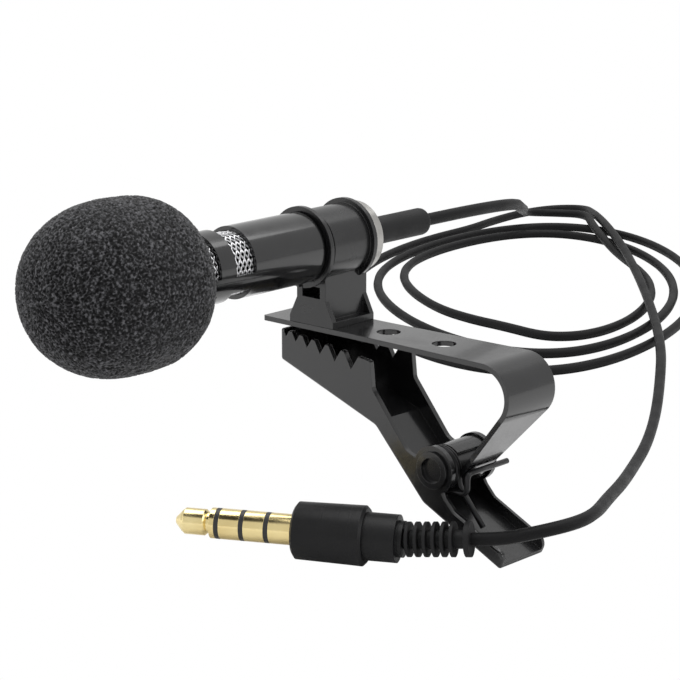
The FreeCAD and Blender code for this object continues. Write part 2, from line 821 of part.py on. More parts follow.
def make_plug_boot():
    # ribbed strain relief, lifted a little where the cord pulls it up, with a straight root in the housing
    core = Part.makeCylinder(rib_core_radius, boot_length, V(boot_x, 0, 0), V(1, 0, 0))
    first = plug_length - end_rib_thickness - rib_count * rib_pitch - last_rib_gap
    for i in range(rib_count):
        disc = Part.makeCylinder(rib_radius, rib_thickness, V(first + i * rib_pitch, 0, 0), V(1, 0, 0))
        core = core.fuse(disc)
    last = Part.makeCylinder(rib_radius, end_rib_thickness, V(plug_length - end_rib_thickness, 0, 0), V(1, 0, 0))
    core = core.fuse([last, Part.makeSphere(rib_core_radius, V(boot_x, 0, 0))])
    core.rotate(V(boot_x, 0, 0), V(0, 1, 0), -boot_lift)
    root_x = boot_x - neck_ring_length - collar_length / 2
    root = Part.makeCylinder(rib_core_radius, boot_x - root_x, V(root_x, 0, 0), V(1, 0, 0))
    return place_plug(core.fuse(root).removeSplitter())


def boot_exit():
    # where the cord leaves the boot, and the way it leaves
    turn = math.radians(plug_heading)
    lift = math.radians(boot_lift)
    way = V(math.cos(turn) * math.cos(lift), math.sin(turn) * math.cos(lift), math.sin(lift))
    start = V(plug_end_x, plug_end_y, plug_axis_z) - V(math.cos(turn), math.sin(turn), 0) * boot_length
    return start + way * boot_length, way


rest_z = floor_z + cord_diameter / 2
boot_end, boot_way = boot_exit()
over_z = rest_z + cord_diameter + 0.15

mic_lead = [
    V(holder_x, relief_end_y, mic_height),
    V(holder_x, 34.0, mic_height),
    V(-12.0, 48.3, 5.8),
    V(-34.0, 76.8, -1.0),
    V(-61.0, 111.5, -9.4),
    V(-78.0, 133.3, -14.6),
    V(-87.0, 145.0, -17.5),
    V(-92.5, 152.4, -19.7),
    V(-90.4, 159.0, -20.5),
    V(-83.6, 160.4, over_z),
    V(-77.3, 153.4, over_z),
    V(-70.0, 146.4, over_z - 0.2),
    V(-63.0, 141.2, -21.6),
]

plug_lead = [
    V(-97.0, 140.0, rest_z),
    V(-98.0, 149.5, rest_z),
    V(-99.0, 160.0, rest_z),
    V(-97.0, 167.6, rest_z + 0.1),
    V(-90.5, 169.0, rest_z + 0.7),
    V(-83.0, 162.0, over_z),
    V(-71.2, 150.2, over_z + 0.7),
    V(-54.5, 133.2, over_z + 0.4),
    V(-32.0, 107.5, over_z),
    V(-14.0, 85.0, over_z),
    V(-3.5, 69.5, rest_z + 0.7),
    V(4.5, 57.0, rest_z + 0.02),
    V(11.5, 45.0, rest_z + 0.02),
    V(17.5, 33.6, -20.9),
    V(23.5, 22.8, -19.3),
    V(28.8, 12.6, -17.6),
    V(33.0, 4.6, -16.5),
    V(34.1, -0.4, -16.2),
    V(31.3, -4.5, -17.0),
    boot_end + boot_way * plug_exit_run,
    boot_end,
]


def cord_tube(name, route):
    tube, length, radii = swept_tube(route, cord_diameter / 2)
    expected = math.pi * cord_diameter ** 2 / 4 * length
    print(name, "length", round(length, 1), "radii", radii)
    print(name, "volume against section times length", round(tube.Volume / expected, 4))
    print(name, "lowest point above the surface", round(tube.optimalBoundingBox(False).ZMin - floor_z, 3))
    return tube


def ellipse_slab(x, y, half_length, half_width, z_from, z_to):
    face = Part.Face(Part.Wire([Part.Ellipse(V(0, 0, 0), half_length, half_width).toShape()]))
    solid = face.extrude(V(0, 0, z_to - z_from))
    solid.rotate(V(0, 0, 0), V(0, 0, 1), coil_heading)
    solid.translate(V(x, y, z_from))
    return solid


def make_cord_coil():
    # the loose turns together, as wide as they spread and one cord high
    top = floor_z + cord_diameter
    outer = ellipse_slab(coil_outer_x, coil_outer_y, coil_outer_half_length, coil_outer_half_width, floor_z, top)
    inside = ellipse_slab(coil_inner_x, coil_inner_y, coil_inner_half_length, coil_inner_half_width, floor_z - 1, 0)
    return outer.cut(inside)


nodes = {
    "upper_jaw": make_upper_jaw(),
    "jaw_lever": make_jaw_lever(),
    "pivot_rivet": make_pivot_rivet(),
    "torsion_spring": make_torsion_spring(),
    "mic_holder": make_mic_holder(),
    "holder_rivet": make_holder_rivet(),
    "mic_barrel": make_mic_barrel(),
    "window_mesh": make_window_mesh(),
    "front_grille": make_front_grille(),
    "electret_capsule": make_capsule(),
    "capsule_gasket": make_capsule_gasket(),
    "capsule_board": make_capsule_board(),
    "inner_leads": make_inner_leads(),
    "cord_anchor": make_cord_anchor(),
    "end_ring": make_end_ring(),
    "mic_strain_relief": make_mic_strain_relief(),
    "windscreen": make_windscreen(),
    "plug_tip": make_plug_tip(),
    "plug_ring_first": make_plug_ring(ring_1_x),
    "plug_ring_second": make_plug_ring(ring_2_x),
    "plug_sleeve": make_plug_sleeve(),
    "plug_insulators": make_plug_insulators(),
    "plug_housing": make_plug_housing(),
    "plug_boot": make_plug_boot(),
    "cord_mic_lead": cord_tube("cord_mic_lead", mic_lead),
    "cord_coil": make_cord_coil(),
    "cord_plug_lead": cord_tube("cord_plug_lead", plug_lead),
}

for name, shape in nodes.items():
    shape.exportStep("parts/" + name + ".step")
    low = shape.BoundBox
    corners = [round(v, 2) for v in (low.XMin, low.YMin, low.ZMin, low.XMax, low.YMax, low.ZMax)]
    print(name, "solids", len(shape.Solids), "valid", shape.isValid(), "volume", round(shape.Volume, 2), corners)
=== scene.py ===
import json
import math

import bpy
from mathutils import Matrix, Vector, noise


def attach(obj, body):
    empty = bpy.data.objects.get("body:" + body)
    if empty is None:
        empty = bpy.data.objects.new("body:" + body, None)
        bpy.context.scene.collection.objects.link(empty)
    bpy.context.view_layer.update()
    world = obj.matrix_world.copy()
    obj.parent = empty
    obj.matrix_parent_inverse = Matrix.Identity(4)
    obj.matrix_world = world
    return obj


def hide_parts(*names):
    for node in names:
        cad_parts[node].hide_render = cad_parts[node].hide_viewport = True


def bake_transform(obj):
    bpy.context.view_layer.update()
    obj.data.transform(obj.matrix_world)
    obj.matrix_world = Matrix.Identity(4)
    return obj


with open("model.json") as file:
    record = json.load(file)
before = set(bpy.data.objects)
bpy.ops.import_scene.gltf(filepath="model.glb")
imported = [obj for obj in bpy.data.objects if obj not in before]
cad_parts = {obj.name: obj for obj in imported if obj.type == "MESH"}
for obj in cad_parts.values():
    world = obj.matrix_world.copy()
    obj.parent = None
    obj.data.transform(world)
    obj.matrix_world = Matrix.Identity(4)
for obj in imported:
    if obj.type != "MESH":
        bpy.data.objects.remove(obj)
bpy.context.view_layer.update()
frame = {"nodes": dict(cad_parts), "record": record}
nodes = frame["nodes"]
mm = 0.001


def linearColour(hexColour):
    parts = [int(hexColour[i:i + 2], 16) / 255 for i in (1, 3, 5)]
    return tuple(p / 12.92 if p <= 0.04045 else ((p + 0.055) / 1.055) ** 2.4 for p in parts) + (1.0,)


def addNode(tree, kind, inputs=None, **settings):
    node = tree.nodes.new(kind)
    for name, value in settings.items():
        setattr(node, name, value)
    for key, value in (inputs or {}).items():
        if isinstance(value, bpy.types.NodeSocket):
            tree.links.new(value, node.inputs[key])
        else:
            node.inputs[key].default_value = value
    return node


def newMaterial(name):
    material = bpy.data.materials.new(name)
    material.use_nodes = True
    tree = material.node_tree
    shader = tree.nodes["Principled BSDF"]
    coordinates = addNode(tree, "ShaderNodeTexCoord").outputs["Object"]
    return material, tree, shader, coordinates


# size in mm of one blob of the pattern
def noiseField(tree, coordinates, size, detail=3.0):
    node = addNode(tree, "ShaderNodeTexNoise", {"Vector": coordinates, "Scale": 1 / (size * mm), "Detail": detail})
    return node.outputs["Fac"]


def rangeOf(tree, value, low, high):
    node = addNode(tree, "ShaderNodeMapRange", {"Value": value, "To Min": low, "To Max": high})
    node.inputs["From Min"].default_value = 0.3
    node.inputs["From Max"].default_value = 0.7
    return node.outputs["Result"]


def mixColours(tree, value, first, second):
    node = addNode(tree, "ShaderNodeMix", {0: value}, data_type="RGBA")
    node.inputs[6].default_value = linearColour(first)
    node.inputs[7].default_value = linearColour(second)
    return node.outputs[2]


def bumpFrom(tree, height, depth, normal=None):
    node = addNode(tree, "ShaderNodeBump", {"Height": height, "Distance": depth * mm, "Strength": 1.0})
    if normal:
        tree.links.new(normal, node.inputs["Normal"])
    return node.outputs["Normal"]


# position along an axis, for marks that a lathe or a mould leaves round it
def alongAxis(tree, coordinates, axis, size):
    dot = addNode(tree, "ShaderNodeVectorMath", {0: coordinates, 1: axis}, operation="DOT_PRODUCT")
    lines = addNode(tree, "ShaderNodeTexNoise", {"W": dot.outputs["Value"], "Scale": 1 / (size * mm), "Detail": 2.0},
                    noise_dimensions="1D")
    return lines.outputs["Fac"]


plugHeading = math.radians(27.2)
plugAxis = (math.cos(plugHeading), math.sin(plugHeading), 0)
barrelAxis = (0, 1, 0)
# what all finishes share: mm for the drift's blobs, roughness for the clear coat
sharedFinish = {"drift": 3.5, "fineDetail": 2.0, "edgeSamples": 4, "coatRoughness": 0.06}

# colours are screen colours, roughness is the lowest and the highest, sizes are mm
finishes = {
    "clip_steel": {"title": "black lacquer on bent spring steel", "colours": ("#0c0c0d", "#121213"),
                   "roughness": (0.17, 0.27), "peel": (0.5, 0.0016), "edge": 0.12, "coat": 0.25},
    "spring_wire": {"title": "blackened drawn spring wire", "colours": ("#1b1b1c", "#2a2a2b"),
                    "roughness": (0.28, 0.4), "peel": (0.2, 0.002), "metal": 0.7},
    "holder_plastic": {"title": "moulded black holder plastic", "colours": ("#0e0e0f", "#141415"),
                       "roughness": (0.2, 0.3), "peel": (0.7, 0.003), "edge": 0.14},
    "barrel_lacquer": {"title": "gloss black lacquer on turned tube", "colours": ("#0a0a0b", "#101011"),
                       "roughness": (0.14, 0.22), "peel": (0.8, 0.0016), "edge": 0.08, "coat": 0.35},
    "silver_mesh": {"title": "bright expanded metal mesh", "colours": ("#b9b9bb", "#d6d6d8"),
                    "roughness": (0.22, 0.34), "peel": (0.15, 0.003), "metal": 1.0},
    "capsule_metal": {"title": "drawn aluminium capsule can", "colours": ("#b4b4b6", "#cbcbcd"),
                      "roughness": (0.3, 0.42), "peel": (0.2, 0.002), "metal": 1.0},
    "gasket_rubber": {"title": "soft moulded gasket rubber", "colours": ("#161617", "#1f1f20"),
                      "roughness": (0.6, 0.75), "peel": (0.25, 0.01)},
    "board": {"title": "green solder resist on a small board", "colours": ("#173a20", "#1f4d2b"),
              "roughness": (0.35, 0.5), "peel": (0.3, 0.004)},
    "lead_insulation": {"title": "extruded dark lead insulation", "colours": ("#1b1112", "#241617"),
                        "roughness": (0.4, 0.5), "peel": (0.3, 0.003)},
    "end_ring_metal": {"title": "turned satin aluminium ring", "colours": ("#908f8c", "#b3b1ae"),
                       "roughness": (0.26, 0.36), "peel": (0.2, 0.001), "metal": 1.0,
                       "lines": (barrelAxis, 0.06, 0.003), "edge": 0.06},
    "relief_rubber": {"title": "matte moulded relief rubber", "colours": ("#0c0c0d", "#131314"),
                      "roughness": (0.5, 0.64), "peel": (0.2, 0.006), "edge": 0.08, "specular": 0.22},
    "gold_plate": {"title": "polished gold plating on turned brass", "colours": ("#dcc488", "#efdfa9"),
                   "roughness": (0.14, 0.24), "peel": (0.3, 0.001), "metal": 1.0,
                   "lines": (plugAxis, 0.07, 0.0016), "edge": 0.06},
    "insulator_plastic": {"title": "dark moulded plug insulator", "colours": ("#141415", "#1b1b1c"),
                          "roughness": (0.38, 0.5), "peel": (0.2, 0.003)},
    "housing_plastic": {"title": "satin black plug housing with turning marks", "colours": ("#0a0a0b", "#121213"),
                        "roughness": (0.36, 0.5), "peel": (0.15, 0.003), "lines": (plugAxis, 0.16, 0.02),
                        "edge": 0.1, "specular": 0.2},
    "cord_jacket": {"title": "matte extruded cord jacket", "colours": ("#070708", "#0e0e0f"),
                    "roughness": (0.5, 0.62), "peel": (0.3, 0.008), "specular": 0.14},
}


def makeFinish(values):
    material, tree, shader, coordinates = newMaterial(values["title"])
    # slow drift of tone and gloss, as handling and uneven coating give
    drift = noiseField(tree, coordinates, sharedFinish["drift"])
    fine = noiseField(tree, coordinates, values["peel"][0], sharedFinish["fineDetail"])
    colour = mixColours(tree, drift, *values["colours"])
    tree.links.new(colour, shader.inputs["Base Color"])
    tree.links.new(rangeOf(tree, drift, *values["roughness"]), shader.inputs["Roughness"])
    shader.inputs["Metallic"].default_value = values.get("metal", 0.0)
    shader.inputs["Specular IOR Level"].default_value = values.get("specular", 0.5)
    normal = None
    if "edge" in values:
        # the rounded edge that a coat or a mould leaves, which catches a thin light line
        edge = addNode(tree, "ShaderNodeBevel", {"Radius": values["edge"] * mm},
                       samples=sharedFinish["edgeSamples"])
        normal = edge.outputs["Normal"]
    normal = bumpFrom(tree, fine, values["peel"][1], normal)
    if "lines" in values:
        axis, size, depth = values["lines"]
        normal = bumpFrom(tree, alongAxis(tree, coordinates, axis, size), depth, normal)
    tree.links.new(normal, shader.inputs["Normal"])
    if "coat" in values:
        shader.inputs["Coat Weight"].default_value = values["coat"]
        shader.inputs["Coat Roughness"].default_value = sharedFinish["coatRoughness"]
    return material


materials = {slot: makeFinish(values) for slot, values in finishes.items()}


# foam finish: mm for sizes and depths, screen colours for the cell floors' painted shade, the struts and the struts'
# painted highlights
foamLook = {"floor": "#030304", "strut": "#101011", "paintedStrutHighlight": "#565659", "paintedHighlightSize": 0.32, "paintedHighlightFrom": 0.44,
            "paintedHighlightTo": 0.66, "grain": 0.12, "grainDepth": 0.03, "roughness": 0.95, "specular": 0.2, "sheen": 0.12,
            "sheenRoughness": 0.5}


def makeFoamMaterial():
    # cell floors coloured dark as painted shade in the pores under lighter struts, with pale painted highlights
    # scattered by noise where a strut would face the light
    v = foamLook
    material, tree, shader, coordinates = newMaterial("open cell black foam")
    pit = addNode(tree, "ShaderNodeAttribute", attribute_name="pit").outputs["Fac"]
    # painted highlights: sparse noise spots on the struts, coloured pale as if lit
    paintedHighlightNoise = noiseField(tree, coordinates, v["paintedHighlightSize"])
    paintedHighlightMask = addNode(tree, "ShaderNodeMapRange", {"Value": paintedHighlightNoise, "From Min": v["paintedHighlightFrom"],
                                                      "From Max": v["paintedHighlightTo"]})
    strutsWithPaintedHighlights = mixColours(tree, paintedHighlightMask.outputs["Result"], v["strut"], v["paintedStrutHighlight"])
    # painted shade: the pit mask colours the cell floors near black, as shade in the pores
    mixed = addNode(tree, "ShaderNodeMix", {0: pit, 6: strutsWithPaintedHighlights}, data_type="RGBA")
    mixed.inputs[7].default_value = linearColour(v["floor"])
    tree.links.new(mixed.outputs[2], shader.inputs["Base Color"])
    shader.inputs["Roughness"].default_value = v["roughness"]
    shader.inputs["Specular IOR Level"].default_value = v["specular"]
    shader.inputs["Sheen Weight"].default_value = v["sheen"]
    shader.inputs["Sheen Roughness"].default_value = v["sheenRoughness"]
    grain = noiseField(tree, coordinates, v["grain"])
    tree.links.new(bumpFrom(tree, grain, v["grainDepth"]), shader.inputs["Normal"])
    return material


materials["foam"] = makeFoamMaterial()
slotOf = {part["node"]: part["material_slot"] for part in frame["record"]["subparts"]}
print("materials made", len(materials))


def meshObject(name, vertices, faces, slot):
    mesh = bpy.data.meshes.new(name)
    mesh.from_pydata(vertices, [], faces)
    mesh.validate()
    made = bpy.data.objects.new(name, mesh)
    bpy.context.scene.collection.objects.link(made)
    made.data.materials.append(materials[slot])
    made.data.shade_smooth()
    return made


# cord: mm points, two leads and a loose coil between them, whose turns are in degrees
cordValues = {"diameter": 1.5, "floor": -22.5, "crossing": 1.65, "turnStep": 15, "firstTurn": 70, "lastTurn": 1060,
              "order": 3, "smoothing": 12, "quickSmoothing": 6, "roundness": 3}
restZ = cordValues["floor"] + cordValues["diameter"] / 2
overZ = restZ + cordValues["crossing"]
micLead = [
    (-2.45, 16.4, 10.1), (-2.45, 34, 10.1), (-12, 48.3, 5.8), (-34, 76.8, -1), (-61, 111.5, -9.4),
    (-78, 133.3, -14.6), (-87, 145, -17.5), (-92.5, 152.4, -19.7), (-90.4, 159, -20.5), (-83.6, 160.4, overZ),
    (-77.3, 153.4, overZ), (-70, 146.4, overZ - 0.2), (-63, 141.2, -21.6),
]
plugLead = [
    (-98, 149.5, restZ), (-99, 160, restZ), (-97, 167.6, restZ + 0.1), (-90.5, 169, restZ + 0.7),
    (-83, 162, overZ), (-71.2, 150.2, overZ + 0.7), (-54.5, 133.2, overZ + 0.4), (-32, 107.5, overZ),
    (-14, 85, overZ), (-3.5, 69.5, restZ + 0.7), (4.5, 57, restZ + 0.02), (11.5, 45, restZ + 0.02),
    (17.5, 33.6, -20.9), (23.5, 22.8, -19.3), (28.8, 12.6, -17.6), (33, 4.6, -16.5), (34.1, -0.4, -16.2),
    (31.3, -4.5, -17), (27.759, -5.777, -18.163), (24.924, -7.233, -18.442),
]
# the oval's middle in its own frame, and that frame's two directions
coilMiddle = (121, 30.4)
coilDirections = ((-0.67, 0.742), (0.742, 0.67))
# amplitudes of the coil's growing oval, along its length and across it
coilAlong = [2.93, -1.89, 33.8, 8.55, -1.65, 2.0, -0.63, 2.01, 0.15, 1.61]
coilAcross = [1.27, -0.36, -1.55, 1.71, 18.11, 4.28, 0.21, 0.92, -0.45, -0.43]
# the inner turn has a small kink: its angle and width in degrees, its depth in mm
kink = {"at": 210, "width": 13, "depth": 3.8}


def coilPoint(degrees):
    phi = math.radians(degrees)
    turn = phi / (2 * math.pi)
    waves = [1, turn]
    for wave in (math.cos(phi), math.sin(phi)):
        waves += [wave, turn * wave]
    waves += [math.cos(2 * phi), math.sin(2 * phi), math.cos(3 * phi), math.sin(3 * phi)]
    u = coilMiddle[0] + sum(a * b for a, b in zip(coilAlong, waves))
    u += kink["depth"] * math.exp(-((degrees - kink["at"]) / kink["width"]) ** 2)
    v = coilMiddle[1] + sum(a * b for a, b in zip(coilAcross, waves))
    long, wide = coilDirections
    return (long[0] * u + wide[0] * v, long[1] * u + wide[1] * v, restZ)


def makeCord():
    turns = range(cordValues["firstTurn"], cordValues["lastTurn"] + 1, cordValues["turnStep"])
    points = micLead + [coilPoint(degrees) for degrees in turns] + plugLead
    curve = bpy.data.curves.new("microphoneCord", "CURVE")
    curve.dimensions = "3D"
    spline = curve.splines.new("NURBS")
    spline.points.add(len(points) - 1)
    for point, place in zip(spline.points, points):
        point.co = (place[0] * mm, place[1] * mm, place[2] * mm, 1)
    spline.order_u = cordValues["order"]
    spline.use_endpoint_u = True
    spline.resolution_u = cordValues["smoothing"]
    cord = bpy.data.objects.new("microphoneCord", curve)
    bpy.context.scene.collection.objects.link(cord)
    line = cord.to_mesh()
    cord.to_mesh_clear()
    curve.bevel_depth = cordValues["diameter"] / 2 * mm
    curve.bevel_resolution = cordValues["roundness"]
    curve.use_fill_caps = True
    curve.materials.append(materials["cord_jacket"])
    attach(cord, "clip")
    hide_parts("cord_mic_lead", "cord_coil", "cord_plug_lead")


makeCord()


# foam windscreen: mm along the microphone, cells are the foam's open pores
foamValues = {"nose": -44.7, "widest": -34.0, "radius": 9.6, "fullness": 2.2, "back": -29.8, "backRadius": 9.35,
              "shoulder": -27.0, "shoulderRadius": 8.1, "mouth": -25.3, "mouthRadius": 6.6, "pocketRadius": 4.3,
              "pocketEnd": -36.8, "cell": 0.42, "cellDepth": 0.22, "lump": 1.7, "lumpHeight": 0.05, "step": 0.172,
              "quickCoarser": 3, "noseSteps": 30, "backSteps": 12, "cellEdge": 0.4}
# the microphone's axis
axisX = -2.45
axisZ = 10.1


def foamProfile():
    v = foamValues
    line = []
    for i in range(v["noseSteps"] + 1):
        turn = math.radians(90 / v["noseSteps"] * i)
        across = math.sin(turn) ** (2 / v["fullness"])
        along = math.cos(turn) ** (2 / v["fullness"]) if i < v["noseSteps"] else 0
        line.append((v["radius"] * across, v["widest"] + (v["nose"] - v["widest"]) * along))
    backs = [(v["radius"], v["widest"]), (v["backRadius"], v["back"]), (v["shoulderRadius"], v["shoulder"]),
             (v["mouthRadius"], v["mouth"] - 0.5)]
    before = [(v["radius"], v["widest"] - 5)] + backs[:-2]
    after = backs[2:] + [(v["mouthRadius"] - 1, v["mouth"] + 1.5)]
    for p0, p1, p2, p3 in zip(before, backs, backs[1:], after):
        for i in range(1, v["backSteps"] + 1):
            t = i / v["backSteps"]
            # weights of a Catmull-Rom curve
            weights = (-t + 2 * t ** 2 - t ** 3, 2 - 5 * t ** 2 + 3 * t ** 3,
                       t + 4 * t ** 2 - 3 * t ** 3, t ** 3 - t ** 2)
            line.append(tuple(sum(w * p[k] for w, p in zip(weights, (p0, p1, p2, p3))) / 2 for k in (0, 1)))
    line += [(v["mouthRadius"] - 0.25, v["mouth"] - 0.1), (v["mouthRadius"] - 0.7, v["mouth"])]
    line += [(v["pocketRadius"] + 0.3, v["mouth"]), (v["pocketRadius"], v["mouth"] - 0.3)]
    line += [(v["pocketRadius"], v["pocketEnd"]), (0, v["pocketEnd"])]
    return line


def evenSteps(line, step):
    even = [line[0]]
    for start, end in zip(line, line[1:]):
        count = max(1, round(math.dist(start, end) / step))
        for i in range(1, count + 1):
            even.append(tuple(a + (b - a) * i / count for a, b in zip(start, end)))
    return even


def makeFoam():
    v = foamValues
    step = v["step"] * 1
    line = evenSteps(foamProfile(), step)[1:-1]
    around = int(2 * math.pi * v["radius"] / step)
    vertices = []
    pits = []
    centre = Vector((axisX, 0, axisZ))

    def pitAt(place):
        distances = noise.voronoi(place / v["cell"])[0]
        inside = min(1.0, (distances[1] - distances[0]) / v["cellEdge"])
        return inside * inside * (3 - 2 * inside)

    for k, (radius, y) in enumerate(line):
        before = line[max(0, k - 1)]
        after = line[min(len(line) - 1, k + 1)]
        slope = Vector((-(after[1] - before[1]), after[0] - before[0])).normalized()
        outside = radius > v["pocketRadius"] + 0.35 or y < v["pocketEnd"] - 1
        for j in range(around):
            turn = 2 * math.pi * j / around
            round_ = Vector((math.cos(turn), 0, math.sin(turn)))
            place = centre + round_ * radius + Vector((0, y, 0))
            pit = pitAt(place)
            outward = -(round_ * slope[0] + Vector((0, slope[1], 0)))
            lump = noise.noise(place / v["lump"]) * v["lumpHeight"]
            depth = (lump - pit * v["cellDepth"]) if outside else 0.0
            vertices.append((place + outward * depth) * mm)
            pits.append(pit)
    faces = []
    for k in range(len(line) - 1):
        for j in range(around):
            following = (j + 1) % around
            low = k * around
            high = low + around
            faces.append((low + j, low + following, high + following, high + j))
    for y, first in ((v["nose"], 0), (v["pocketEnd"], (len(line) - 1) * around)):
        pole = len(vertices)
        vertices.append(Vector((axisX, y, axisZ)) * mm)
        pits.append(0.5)
        for j in range(around):
            pair = (first + j, first + (j + 1) % around)
            faces.append((pole, pair[1], pair[0]) if first == 0 else (pole, pair[0], pair[1]))
    foam = meshObject("foamWindscreen", vertices, faces, "foam")
    foam.data.flip_normals()
    attribute = foam.data.attributes.new("pit", "FLOAT", "POINT")
    attribute.data.foreach_set("value", pits)
    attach(foam, "windscreen")
    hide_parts("windscreen")
    print("foam faces", len(foam.data.polygons))


makeFoam()


# expanded mesh behind the barrel's windows: mm, one diamond repeated round and along the sleeve
meshValues = {"radius": 3.5, "from": -26.45, "to": -15.55, "around": 20, "along": 16, "strand": 0.17,
              "thickness": 0.16}


def makeDiamond():
    v = meshValues
    halfWide = math.pi * v["radius"] / v["around"]
    halfLong = (v["to"] - v["from"]) / v["along"] / 2
    half = v["strand"] / 2
    grow = 1 + half / halfLong
    shrink = 1 - half / halfLong
    vertices = []
    for z in (-v["thickness"] / 2, v["thickness"] / 2):
        for scale in (grow, shrink):
            for x, y in ((1, 0), (0, 1), (-1, 0), (0, -1)):
                vertices.append((halfWide * scale * x, halfLong * scale * y, z))
    faces = []
    for i in range(4):
        j = (i + 1) % 4
        faces += [(4 + i, 4 + j, j, i), (8 + j, 12 + j, 12 + i, 8 + i)]
        faces += [(j, 8 + j, 8 + i, i), (12 + i, 12 + j, 4 + j, 4 + i)]
    vertices = [tuple(c * mm for c in vertex) for vertex in vertices]
    return meshObject("meshDiamond", vertices, faces, "silver_mesh")


def makeMeshSleeve():
    v = meshValues
    diamond = makeDiamond()
    tree = bpy.data.node_groups.new("meshSleeveRepeat", "GeometryNodeTree")
    for name, kind in (("Around", "NodeSocketInt"), ("Along", "NodeSocketInt"), ("Radius", "NodeSocketFloat"),
                       ("Length", "NodeSocketFloat")):
        tree.interface.new_socket(name, in_out="INPUT", socket_type=kind)
    tree.interface.new_socket("Geometry", in_out="OUTPUT", socket_type="NodeSocketGeometry")
    given = addNode(tree, "NodeGroupInput").outputs
    full = addNode(tree, "ShaderNodeMath", {0: 1.0, 1: given["Around"]}, operation="DIVIDE").outputs[0]
    part = addNode(tree, "ShaderNodeMath", {0: 1.0, 1: full}, operation="SUBTRACT").outputs[0]
    sweep = addNode(tree, "ShaderNodeMath", {0: part, 1: 2 * math.pi}, operation="MULTIPLY").outputs[0]
    grid = addNode(tree, "GeometryNodeMeshGrid", {"Size X": sweep, "Size Y": given["Length"],
                                                  "Vertices X": given["Around"], "Vertices Y": given["Along"]})
    place = addNode(tree, "ShaderNodeSeparateXYZ", {0: addNode(tree, "GeometryNodeInputPosition").outputs[0]})
    angle = place.outputs["X"]
    lean = addNode(tree, "ShaderNodeMath", {0: math.pi / 2, 1: angle}, operation="SUBTRACT").outputs[0]
    turned = addNode(tree, "ShaderNodeCombineXYZ", {"Y": lean}).outputs[0]
    source = addNode(tree, "GeometryNodeObjectInfo", {"Object": diamond}).outputs["Geometry"]
    copies = addNode(tree, "GeometryNodeInstanceOnPoints", {"Points": grid.outputs["Mesh"], "Instance": source,
                                                            "Rotation": turned})
    cosine = addNode(tree, "ShaderNodeMath", {0: angle}, operation="COSINE").outputs[0]
    sine = addNode(tree, "ShaderNodeMath", {0: angle}, operation="SINE").outputs[0]
    x = addNode(tree, "ShaderNodeMath", {0: cosine, 1: given["Radius"]}, operation="MULTIPLY").outputs[0]
    z = addNode(tree, "ShaderNodeMath", {0: sine, 1: given["Radius"]}, operation="MULTIPLY").outputs[0]
    wrapped = addNode(tree, "ShaderNodeCombineXYZ", {"X": x, "Y": place.outputs["Y"], "Z": z}).outputs[0]
    moved = addNode(tree, "GeometryNodeSetPosition", {"Geometry": copies.outputs[0], "Position": wrapped})
    real = addNode(tree, "GeometryNodeRealizeInstances", {"Geometry": moved.outputs[0]})
    painted = addNode(tree, "GeometryNodeSetMaterial", {"Geometry": real.outputs[0],
                                                        "Material": materials["silver_mesh"]})
    addNode(tree, "NodeGroupOutput", {0: painted.outputs[0]})
    holder = bpy.data.objects.new("meshHolder", bpy.data.meshes.new("meshHolder"))
    bpy.context.scene.collection.objects.link(holder)
    modifier = holder.modifiers.new("repeat", "NODES")
    modifier.node_group = tree
    spacing = (v["to"] - v["from"]) / v["along"]
    values = {"Around": v["around"], "Along": v["along"], "Radius": v["radius"] * mm,
              "Length": (v["along"] - 1) * spacing * mm}
    for item in tree.interface.items_tree:
        if item.in_out == "INPUT":
            modifier[item.identifier] = values[item.name]
    bpy.context.view_layer.update()
    mesh = bpy.data.meshes.new_from_object(holder.evaluated_get(bpy.context.evaluated_depsgraph_get()))
    bpy.data.objects.remove(holder)
    bpy.data.objects.remove(diamond)
    mesh.transform(Matrix.Translation(Vector((axisX, (v["from"] + v["to"]) / 2, axisZ)) * mm))
    sleeve = bpy.data.objects.new("windowMesh", mesh)
    bpy.context.scene.collection.objects.link(sleeve)
    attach(sleeve, "microphone")
    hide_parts("window_mesh")
    print("mesh sleeve faces", len(mesh.polygons))


makeMeshSleeve()


# torsion spring: mm, a real coil on the pivot with a bar across the leg and a foot on the tail
springValues = {"wire": 0.7, "radius": 2.28, "pivotX": 16.55, "pivotZ": -13.0, "outY": -2.81, "footY": -2.11,
                "barX": 20.6, "barZ": -12.9, "barEnd": 4.3, "footX": 22.4, "footZ": -18.9, "bend": 0.8,
                "coilDegrees": 630, "coilSteps": 84, "drop": 1.6, "inset": 0.02, "sides": 14,
                "blendBelowCoil": 0.5, "blendAboveFoot": 0.6}


def sweepTube(path, radius, sides):
    vertices = []
    faces = []
    side = None
    for k, point in enumerate(path):
        ahead = path[min(len(path) - 1, k + 1)] - path[max(0, k - 1)]
        ahead.normalize()
        if side is None:
            side = ahead.orthogonal().normalized()
        side = (side - ahead * side.dot(ahead)).normalized()
        up = ahead.cross(side)
        for j in range(sides):
            turn = 2 * math.pi * j / sides
            vertices.append((point + side * math.cos(turn) * radius + up * math.sin(turn) * radius) * mm)
    for k in range(len(path) - 1):
        for j in range(sides):
            following = (j + 1) % sides
            faces.append((k * sides + j, k * sides + following, (k + 1) * sides + following, (k + 1) * sides + j))
    faces.append(tuple(reversed(range(sides))))
    faces.append(tuple(range((len(path) - 1) * sides, len(path) * sides)))
    return vertices, faces


def bendLine(corners, radius):
    line = [corners[0]]
    for before, corner, after in zip(corners, corners[1:], corners[2:]):
        start = corner + (before - corner).normalized() * radius
        end = corner + (after - corner).normalized() * radius
        for i in range(9):
            t = i / 8
            line.append(start * (1 - t) ** 2 + corner * 2 * t * (1 - t) + end * t ** 2)
    return line + [corners[-1]]


